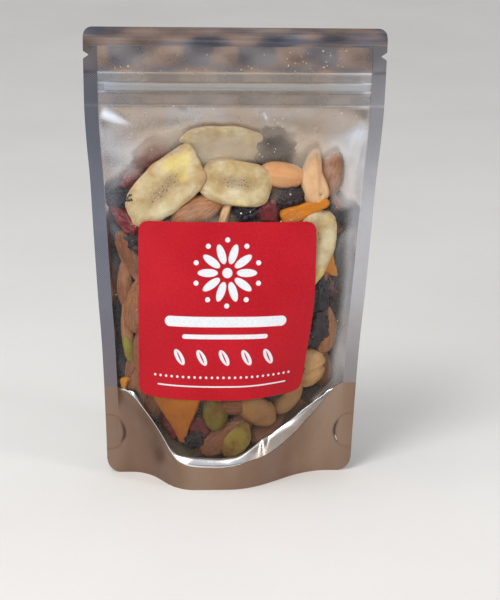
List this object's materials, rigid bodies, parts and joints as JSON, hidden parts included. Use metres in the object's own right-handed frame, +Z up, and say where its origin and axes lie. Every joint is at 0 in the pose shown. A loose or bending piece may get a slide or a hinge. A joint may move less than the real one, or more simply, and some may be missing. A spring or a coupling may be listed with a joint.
{
  "type": "stand-up pouch of trail mix",
  "caption": "Filled stand-up pouch with a clear front, metallised back and bottom gusset, press-to-close zip, tear notches and a square front label; stands upright.",
  "frame": {"origin": "centre of the footprint's bounding box, on the surface the pouch stands on", "axes": "+Z up towards the zip, -Y towards the front with the label, +X to the right as seen from the front"},
  "size_m": [0.131, 0.0465, 0.2055],
  "materials": {
    "bag": "gloss",
    "label": "satin",
    "zip_strip": "gloss"
  },
  "bodies": {
    "root": {"bag": "bag", "label": "label", "zip_strip": "zip_strip"}
  },
  "joints": []
}
